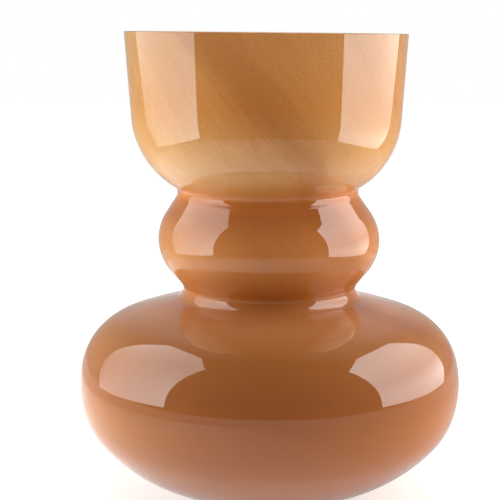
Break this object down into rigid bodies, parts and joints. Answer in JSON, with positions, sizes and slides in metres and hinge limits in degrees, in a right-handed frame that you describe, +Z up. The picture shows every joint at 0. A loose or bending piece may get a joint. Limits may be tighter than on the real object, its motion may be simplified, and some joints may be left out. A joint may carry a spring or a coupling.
{
  "type": "gourd vase",
  "caption": "Mouth-blown gourd vase in cased caramel glass: a straight-sided cup on a round bulb on a wide, squat belly.",
  "frame": {"origin": "centre of the foot, on the surface that the vase stands on", "axes": "+Z up along the axis that the glass is turned on; -Y faces the camera of the picture; the hand-cut rim falls 1.5 mm towards +X"},
  "size_m": [0.2, 0.1998, 0.2404],
  "materials": {
    "caramel_glass": "fire-glossy, opaque caramel glass, paler where it is blown thin",
    "opal_glass": "glossy, opaque pale opal glass"
  },
  "bodies": {
    "root": {"caramel_overlay": "caramel_glass", "opal_lining": "opal_glass"}
  },
  "joints": []
}
